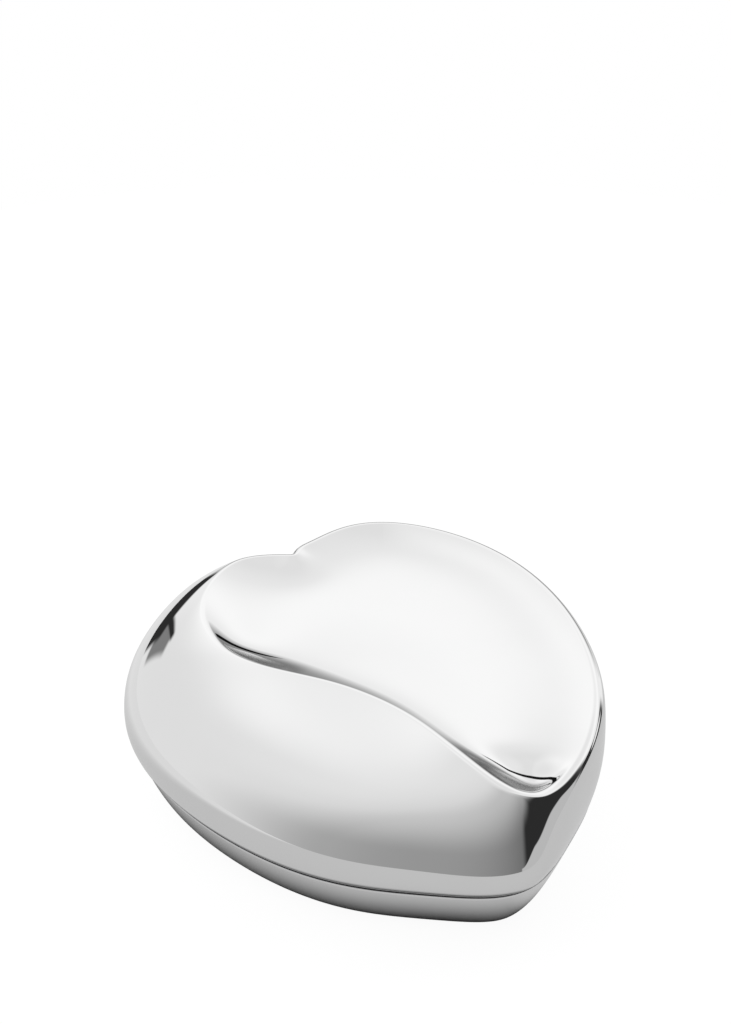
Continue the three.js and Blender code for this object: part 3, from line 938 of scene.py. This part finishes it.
def marks_group():
    """Shader nodes that the finishes share: soft clouds, fine streaks round the box and waves of the sheet."""
    tree = bpy.data.node_groups.new("Steel marks", "ShaderNodeTree")
    for name in ("Clouds", "Streaks", "Waves"):
        tree.interface.new_socket(name, in_out="OUTPUT", socket_type="NodeSocketFloat")
    place = add_node(tree, "ShaderNodeTexCoord").outputs["Object"]
    split = add_node(tree, "ShaderNodeSeparateXYZ", Vector=place)
    x, y, z = (NodeNumber(tree, part) for part in split.outputs)
    out = (x * x + y * y).step("SQRT")
    along = add_node(
        tree,
        "ShaderNodeCombineXYZ",
        X=out * STREAKS_PER_METRE,
        Y=z * STREAKS_PER_METRE,
        Z=(x + y) * STREAK_RUN,
    )
    clouds = add_node(tree, "ShaderNodeTexNoise", Vector=place, Scale=CLOUDS_PER_METRE, Detail=4.0)
    streaks = add_node(tree, "ShaderNodeTexNoise", Vector=along.outputs[0], Scale=1.0, Detail=3.0)
    waves = add_node(tree, "ShaderNodeTexNoise", Vector=place, Scale=WAVES_PER_METRE, Detail=1.0)
    result = tree.nodes.new("NodeGroupOutput")
    for made, slot in zip((clouds, streaks, waves), result.inputs):
        tree.links.new(made.outputs[0], slot)
    return tree


def new_steel(name):
    """Metal material with the shared marks ready for use."""
    material = bpy.data.materials.new(name)
    material.use_nodes = True
    tree = material.node_tree
    shader = tree.nodes["Principled BSDF"]
    shader.inputs["Metallic"].default_value = 1.0
    marks = tree.nodes.new("ShaderNodeGroup")
    marks.node_tree = bpy.data.node_groups.get("Steel marks") or marks_group()
    clouds, streaks, waves = (NodeNumber(tree, socket) for socket in marks.outputs)
    return material, tree, shader, clouds, streaks, waves


def link_finish(tree, shader, colour_of_light, colour_of_dark, dark, roughness, height, distance):
    """Links a colour between two, a roughness and a relief to the metal."""
    blend = tree.nodes.new("ShaderNodeMix")
    blend.data_type = "RGBA"
    factor, first, second = (blend.inputs[i] for i in (0, 6, 7))
    tree.links.new(dark.socket, factor)
    first.default_value = (*colour_of_light, 1.0)
    second.default_value = (*colour_of_dark, 1.0)
    bump = add_node(tree, "ShaderNodeBump", Strength=1.0, Distance=distance, Height=height)
    tree.links.new(blend.outputs[2], shader.inputs["Base Color"])
    tree.links.new(roughness.socket, shader.inputs["Roughness"])
    tree.links.new(bump.outputs[0], shader.inputs["Normal"])


def attribute(tree, name):
    """Number that the points of a mesh carry."""
    node = tree.nodes.new("ShaderNodeAttribute")
    node.attribute_name = name
    return NodeNumber(tree, node.outputs["Fac"])


def polished_steel(name, finish):
    """Mirror polish; pockets rougher, with streaked painted shade and a painted dark line along their lips."""
    material, tree, shader, clouds, _, waves = new_steel(name)
    lip = attribute(tree, "pocket_lip")
    # Painted dark line along each pocket's lip, a painted reflection: dark colour and no metal shine
    line = (attribute(tree, "painted_lip_line") - lip.step("ABSOLUTE")).smooth(*LINE_EDGE)
    # Streaked painted shade darkens the colour in the pockets; their polish is also rougher there
    shade_streaks = add_node(tree, "ShaderNodeTexNoise", Scale=SHADE_STREAKS_PER_MM, Detail=2.0)
    shade_streaks.noise_dimensions = "1D"
    tree.links.new(lip.socket, shade_streaks.inputs["W"])
    streaked_shade = NodeNumber(tree, shade_streaks.outputs[0]) * SHADE_STREAK_DEPTH + SHADE_STREAK_FLOOR
    dull_and_shade = attribute(tree, "pocket_dull_and_shade") * lip.smooth(*POCKET_EDGE)
    dark = (dull_and_shade * streaked_shade * POCKET_PAINTED_SHADE).step("MAXIMUM", line) + clouds * CLOUD_DARKNESS
    roughness = clouds * CLOUD_ROUGHNESS + dull_and_shade * POCKET_ROUGHNESS + POLISH_ROUGHNESS
    shader.inputs["Specular IOR Level"].default_value = 0.0
    metal = 1.0 - line.smooth(*LINE_WITHOUT_SHINE)
    tree.links.new(metal.socket, shader.inputs["Metallic"])
    link_finish(tree, shader, finish.polished, finish.shadow, dark, roughness, waves, WAVE_HEIGHT)
    return material


def satin_steel(name, finish):
    """Satin finish brushed round the box."""
    material, tree, shader, clouds, streaks, _ = new_steel(name)
    dark = clouds * SATIN_CLOUD_DARKNESS + streaks * SATIN_STREAK_DARKNESS
    roughness = clouds * SATIN_CLOUD_ROUGHNESS + streaks * SATIN_STREAK_ROUGHNESS + SATIN_ROUGHNESS
    link_finish(tree, shader, finish.satin, finish.shadow, dark, roughness, streaks, STREAK_HEIGHT)
    return material


def finish_of(slot):
    """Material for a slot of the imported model, made when first asked for."""
    name, make = FINISHES[slot]
    return bpy.data.materials.get(name) or make(name, bpy.context.scene.bonbonniere.finish)


FINISHES = {
    "polished_steel": ("Mirror polish", polished_steel),
    "satin_steel": ("Satin brush", satin_steel),
}


# Pieces


def add_piece(mesh, name, body, node):
    """Puts a finished mesh in the scene as a piece that rides on its body and stands for its node."""
    piece = put(name, mesh)
    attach(piece, body)
    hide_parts(node)


class BONBONNIERE_OT_bowl(bpy.types.Operator):
    """Draws the bowl from its profile round the heart outline"""

    bl_idname = "bonbonniere.bowl"
    bl_label = "Bowl"

    def execute(self, context):
        settings = context.scene.bonbonniere
        points = bowl_points(settings)
        mesh = sweep_mesh("bowl", settings, points, False, finish_of("polished_steel"))
        mesh.materials.append(finish_of("satin_steel"))
        for face in mesh.polygons:
            turned_in = face.normal.xy.dot(face.center.xy) < 0.0
            face.material_index = int(turned_in or face.normal.z > LOOKS_UP)
        add_piece(mesh, "bowl", "base", "base_bowl")
        return {"FINISHED"}


class BONBONNIERE_OT_collar(bpy.types.Operator):
    """Stands the locating collar on the bowl's flange"""

    bl_idname = "bonbonniere.collar"
    bl_label = "Collar"

    def execute(self, context):
        settings = context.scene.bonbonniere
        bowl = settings.bowl
        outer = settings.lid.seam_tuck + settings.lid.sheet + bowl.collar_clearance
        points = box_points(
            outer + bowl.collar_sheet, outer, bowl.mouth_height, bowl.collar_top, bowl.edge_round
        )
        mesh = sweep_mesh("collar", settings, points, True, finish_of("satin_steel"))
        add_piece(mesh, "collar", "base", "base_collar")
        return {"FINISHED"}


class BONBONNIERE_OT_lid(bpy.types.Operator):
    """Sculpts the lid: side, rolled rim, S-shaped crest and dish in one skin"""

    bl_idname = "bonbonniere.lid"
    bl_label = "Lid"

    def execute(self, context):
        settings = context.scene.bonbonniere
        under, rows, top, first_outside, first_dish_row = lid_rows(settings)
        mesh = skin_mesh("lid", rows, under, top)
        for name, values in pocket_values(rows, first_dish_row, box_middle(settings)).items():
            column = mesh.attributes.new(name, "FLOAT", "POINT")
            column.data.foreach_set("value", np.ascontiguousarray(values))
        mesh.materials.append(finish_of("polished_steel"))
        mesh.materials.append(finish_of("satin_steel"))
        inside_faces = settings.heart.stations * first_outside
        finish = np.zeros(len(mesh.polygons), np.int32)
        finish[:inside_faces] = 1
        mesh.polygons.foreach_set("material_index", finish)
        add_piece(mesh, "lid", "lid", "lid_shell")
        return {"FINISHED"}


class BONBONNIERE_OT_seat_ring(bpy.types.Operator):
    """Fits the flat ring inside the lid that rests on the collar"""

    bl_idname = "bonbonniere.seat_ring"
    bl_label = "Seat ring"

    def execute(self, context):
        settings = context.scene.bonbonniere
        mesh = ring_mesh("seat_ring", ring_rows(settings))
        mesh.materials.append(finish_of("satin_steel"))
        add_piece(mesh, "seat_ring", "lid", "lid_seat_ring")
        return {"FINISHED"}


# Stage

# Camera, in degrees, metres and pixels of the photograph
VIEW_ELEVATION = 36.12
VIEW_TURN = 29.98
VIEW_DISTANCE = 0.983
FOCAL_PIXELS = 3304.0
FRAME_PIXELS = (731, 1024)
CENTRE_PIXEL = (368.25, 786.17)
SENSOR = 36.0
# Table: its light changes between the two distances of each span
TABLE_RADIUS = 0.42
TABLE_SIDES = 96
LEFT_AWAY = 0.5
LEFT_ACROSS = 0.87
LEFT_TABLE = (0.09, 0.16)
BACK_TABLE = (0.1, 0.25)
UNDER_BOWL = (-13.0 * MM, 4.0 * MM)
UNSHADED_RIGHT = (38.0 * MM, 52.0 * MM)
# Strengths of light
CAMERA_GLOW = 0.85
CAMERA_TABLE_LIGHT = 1.107
MIRROR_GLOW = 0.8
TABLE_LIGHT = 0.68
LEFT_TABLE_LIGHT = 0.95
BACK_TABLE_LIGHT = 0.95
FRONT_LIGHT = 0.2
NEAR_LEFT_LIGHT = 0.46
LEFT_LIGHT = 0.92
BACK_LIGHT = 1.05
BACK_GLOW = 0.14
FRONT_CEILING = 0.76
BACK_CEILING = 0.98
SCREEN_LIGHT = 0.03
UNDER_SCREEN_LIGHT = 0.6
SHADE_LIGHT = 0.25
HORIZON_LIGHT = 0.28
PATCH_LIGHT = 0.15
PATCH_SHADE = 0.08
# Places in the studio: sides in degrees to the right of the camera, heights in degrees over the horizon.
# A pair is where a change starts and ends; three numbers are two edges and how soft they are.
DEGREES = math.degrees(1.0)
FRONT_WALL = (38.0, -40.0)
LEFT_WALL = (-95.0, -40.0)
BACK_WALL_LEFT = (-164.0, -140.0)
BACK_WALL_RIGHT = (106.0, 118.0)
BACK_GLOW_HEIGHTS = (25.0, 40.0, 7.0)
CEILING_AWAY = (-0.2, 0.35)
CEILING_HEIGHTS = (30.0, 95.0)
PATCH_RISE = (-180.0, -164.0)
PATCH_FALL = (-166.0, -130.0)
PATCH_HEIGHTS = (40.0, 54.0, 14.0)
UNSHADED_SIDES = (-175.0, 140.0, 10.0)
SHADED_HEIGHTS = (50.0, 75.0, 14.0)
TALL_SIDES = (40.5, 109.0, 4.0)
TALL_TOP = 41.0
TALL_TOP_RISE = 13.0
TALL_TOP_SIDES = (42.0, 62.0)
TALL_TOP_EDGE = (-9.0, 9.0)
BELOW_SIDES = (36.0, 112.0, 1.0)
BELOW_TOP = 14.0
BELOW_RISE = (36.0, 56.0)
BELOW_FALL = (97.0, 112.0)
BELOW_EDGE = (-1.0, 1.0)
LOW_RIGHT_SIDES = (108.0, 137.0, 3.0)
LOW_RIGHT_TOP = (7.0, 11.0)
CLEAR_SIDES = (-166.0, 150.0, 5.0)
HAZE_HEIGHTS = (-4.0, 18.0)
LEAN = 0.375
LEAN_FOOT = -152.75
LEAN_EDGE = (-1.0, 1.0, 0.6)
LEAN_HEIGHTS = (0.0, 18.0, 1.5)
BESIDE_LEAN = (0.0, 1.5)
BESIDE_END = (-143.0, -139.0)
BESIDE_HEIGHTS = (1.0, 17.0, 1.5)
LOW_LEFT_SIDES = (-165.0, -147.0, 1.5)
LOW_LEFT_TOP = (4.0, 7.0)


def add_camera(settings):
    """Camera at the photograph's viewing angle, with the heart's centre on its pixel of the photograph."""
    elevation = math.radians(VIEW_ELEVATION)
    turn = math.radians(VIEW_TURN)
    middle = box_middle(settings)
    right = (CENTRE_PIXEL[0] - FRAME_PIXELS[0] / 2) / FOCAL_PIXELS
    down = (CENTRE_PIXEL[1] - FRAME_PIXELS[1] / 2) / FOCAL_PIXELS
    data = bpy.data.cameras.new("Camera")
    data.sensor_width = SENSOR
    data.lens = FOCAL_PIXELS * SENSOR / FRAME_PIXELS[1]
    camera = put("Camera", data)
    camera.location = (
        -middle[0] - VIEW_DISTANCE * math.cos(elevation) * math.sin(turn),
        -middle[1] - VIEW_DISTANCE * math.cos(elevation) * math.cos(turn),
        VIEW_DISTANCE * math.sin(elevation),
    )
    tilt = elevation - math.atan(down)
    heading = turn - math.atan(right / math.cos(tilt))
    camera.rotation_euler = (math.pi / 2 - tilt, 0.0, -heading)
    bpy.context.scene.camera = camera


def turned_to_camera(tree, vector):
    """Right, away and up parts of a vector, as seen from the camera."""
    turned = add_node(tree, "ShaderNodeVectorRotate", Vector=vector, Angle=math.radians(VIEW_TURN))
    turned.rotation_type = "Z_AXIS"
    split = add_node(tree, "ShaderNodeSeparateXYZ", Vector=turned.outputs[0])
    return [NodeNumber(tree, part) for part in split.outputs]


def light_rays(tree):
    """1 for what the camera sees straight, and 1 for what it sees in the mirror of the steel."""
    path = add_node(tree, "ShaderNodeLightPath").outputs
    return [NodeNumber(tree, path[ray]) for ray in ("Is Camera Ray", "Is Glossy Ray")]


def outside_heart(tree, place, settings):
    """How far outside the heart's outline a place on the table lies."""
    split = add_node(tree, "ShaderNodeSeparateXYZ", Vector=place)
    middle_x, middle_y = box_middle(settings)
    x = NodeNumber(tree, split.outputs["X"]) + float(middle_x)
    y = NodeNumber(tree, split.outputs["Y"]) + float(middle_y)
    turn = x.step("ARCTAN2", y)
    return (x * x + y * y).step("SQRT") - outline_radius(turn, settings.heart)


def table_light(right, away, outside):
    """Light of the table that the steel mirrors: more to the left and at the back, less under the bowl."""
    left = away * LEFT_AWAY - right * LEFT_ACROSS
    light = mix(TABLE_LIGHT, LEFT_TABLE_LIGHT, left.smooth(*LEFT_TABLE))
    light = mix(light, BACK_TABLE_LIGHT, away.smooth(*BACK_TABLE))
    return light * mix(outside.smooth(*UNDER_BOWL), 1.0, right.smooth(*UNSHADED_RIGHT))


def add_floor(settings):
    """Round pale table; the camera sees it white, and the steel sees part of that glow."""
    turns = np.linspace(0.0, 2.0 * math.pi, TABLE_SIDES, endpoint=False)
    corners = with_height(polar(-turns, TABLE_RADIUS), 0.0)
    mesh = bpy.data.meshes.new("floor")
    mesh.from_pydata(corners.tolist(), [], [range(TABLE_SIDES)])
    floor = put("floor", mesh)
    material = bpy.data.materials.new("floor")
    material.use_nodes = True
    tree = material.node_tree
    shader = tree.nodes["Principled BSDF"]
    shader.inputs["Base Color"].default_value = (*settings.stage.floor, 1.0)
    shader.inputs["Roughness"].default_value = 1.0
    shader.inputs["Specular IOR Level"].default_value = 0.0
    camera, mirrored = light_rays(tree)
    place = add_node(tree, "ShaderNodeTexCoord").outputs["Object"]
    right, away, _ = turned_to_camera(tree, place)
    mirror_light = table_light(right, away, outside_heart(tree, place, settings))
    glow = add_node(tree, "ShaderNodeEmission", Strength=mix(mirror_light, CAMERA_TABLE_LIGHT, camera))
    blend = add_node(tree, "ShaderNodeMixShader", Fac=camera * CAMERA_GLOW + mirrored * MIRROR_GLOW)
    tree.links.new(shader.outputs[0], blend.inputs[1])
    tree.links.new(glow.outputs[0], blend.inputs[2])
    tree.links.new(blend.outputs[0], tree.nodes["Material Output"].inputs["Surface"])
    mesh.materials.append(material)


def studio_light(side, height, away):
    """Light from a direction: degrees to the right of the camera, degrees over the horizon, share away."""
    # Walls: dark in front, light to the left and behind, under a pale ceiling
    walls = mix(FRONT_LIGHT, NEAR_LEFT_LIGHT, side.ramp(*FRONT_WALL))
    walls = mix(LEFT_LIGHT, walls, side.smooth(*LEFT_WALL))
    back = height.inside(*BACK_GLOW_HEIGHTS) * BACK_GLOW + BACK_LIGHT
    in_front = side.smooth(*BACK_WALL_LEFT) * (1.0 - side.smooth(*BACK_WALL_RIGHT))
    walls = mix(back, walls, in_front)
    ceiling = mix(FRONT_CEILING, BACK_CEILING, away.smooth(*CEILING_AWAY))
    light = mix(walls, ceiling, height.smooth(*CEILING_HEIGHTS))
    # Light patch high up behind to the left, and a greyer one beside it
    patch = side.smooth(*PATCH_RISE) * (1.0 - side.smooth(*PATCH_FALL))
    light = light + patch * height.inside(*PATCH_HEIGHTS) * PATCH_LIGHT
    straight_behind = 1.0 - side.inside(*UNSHADED_SIDES)
    light = light - straight_behind * height.inside(*SHADED_HEIGHTS) * PATCH_SHADE
    # Tall dark screen to the right, with the table's light below it
    top = side.ramp(*TALL_TOP_SIDES) * TALL_TOP_RISE + TALL_TOP
    tall = side.inside(*TALL_SIDES) * (1.0 - (height - top).smooth(*TALL_TOP_EDGE))
    light = mix(light, SCREEN_LIGHT, tall)
    low = (side.smooth(*BELOW_RISE) - side.smooth(*BELOW_FALL)) * BELOW_TOP
    below = side.inside(*BELOW_SIDES) * (1.0 - (height - low).smooth(*BELOW_EDGE))
    light = mix(light, UNDER_SCREEN_LIGHT, below)
    # Low dark screen behind to the right
    low_right = side.inside(*LOW_RIGHT_SIDES) * (1.0 - height.smooth(*LOW_RIGHT_TOP))
    light = mix(light, SCREEN_LIGHT, low_right)
    # Haze straight behind, down to the far edge of the table
    behind = 1.0 - side.inside(*CLEAR_SIDES)
    clear = height.ramp(*HAZE_HEIGHTS)
    light = mix(light, mix(HORIZON_LIGHT, light, clear * clear * clear), behind)
    # Low dark screen behind to the left, its leaning edge and the shade beside it
    lean = side - height * LEAN - LEAN_FOOT
    shade = lean.smooth(*BESIDE_LEAN) * (1.0 - side.smooth(*BESIDE_END))
    light = mix(light, SHADE_LIGHT, shade * height.inside(*BESIDE_HEIGHTS))
    light = mix(light, SCREEN_LIGHT, lean.inside(*LEAN_EDGE) * height.inside(*LEAN_HEIGHTS))
    low_left = side.inside(*LOW_LEFT_SIDES) * (1.0 - height.smooth(*LOW_LEFT_TOP))
    return mix(light, SCREEN_LIGHT, low_left)


def add_studio():
    """White to the camera; in the mirror of the steel the walls, ceiling and screens of a studio."""
    world = bpy.data.worlds.new("Studio")
    bpy.context.scene.world = world
    world.use_nodes = True
    tree = world.node_tree
    direction = add_node(tree, "ShaderNodeTexCoord").outputs["Generated"]
    right, away, up = turned_to_camera(tree, direction)
    side = right.step("ARCTAN2", away * -1.0) * DEGREES
    height = up.step("ARCSINE") * DEGREES
    camera, _ = light_rays(tree)
    background = tree.nodes["Background"]
    background.inputs["Color"].default_value = (1.0, 1.0, 1.0, 1.0)
    shown = mix(studio_light(side, height, away), 1.0, camera)
    tree.links.new(shown.socket, background.inputs["Strength"])


class BONBONNIERE_OT_stage(bpy.types.Operator):
    """Lays the floor, lights the studio and sets up the camera"""

    bl_idname = "bonbonniere.stage"
    bl_label = "Stage"

    def execute(self, context):
        settings = context.scene.bonbonniere
        context.scene.view_settings.view_transform = "Standard"
        add_floor(settings)
        add_studio()
        add_camera(settings)
        return {"FINISHED"}


class BONBONNIERE_PT_sidebar(bpy.types.Panel):
    """Lists the pieces of the box and their settings"""

    bl_label = "Bonbonniere"
    bl_space_type = "VIEW_3D"
    bl_region_type = "UI"
    bl_category = "Bonbonniere"

    def draw(self, context):
        for operator in OPERATORS:
            self.layout.operator(operator.bl_idname)
        settings = context.scene.bonbonniere
        for part in (settings.heart, settings.lid, settings.bowl, settings.finish, settings.stage):
            box = self.layout.box()
            for name in part.__annotations__:
                box.prop(part, name)


SETTINGS = (
    HeartSettings,
    LidSettings,
    BowlSettings,
    FinishSettings,
    StageSettings,
    BonbonniereSettings,
)
OPERATORS = (
    BONBONNIERE_OT_bowl,
    BONBONNIERE_OT_collar,
    BONBONNIERE_OT_lid,
    BONBONNIERE_OT_seat_ring,
    BONBONNIERE_OT_stage,
)


def register():
    for made in (*SETTINGS, *OPERATORS, BONBONNIERE_PT_sidebar):
        bpy.utils.register_class(made)
    bpy.types.Scene.bonbonniere = PointerProperty(type=BonbonniereSettings)


def unregister():
    del bpy.types.Scene.bonbonniere
    for made in reversed((*SETTINGS, *OPERATORS, BONBONNIERE_PT_sidebar)):
        bpy.utils.unregister_class(made)


def main():
    register()
    bpy.ops.bonbonniere.bowl()
    bpy.ops.bonbonniere.collar()
    bpy.ops.bonbonniere.lid()
    bpy.ops.bonbonniere.seat_ring()
    bpy.ops.bonbonniere.stage()


if __name__ == "__main__":
    main()
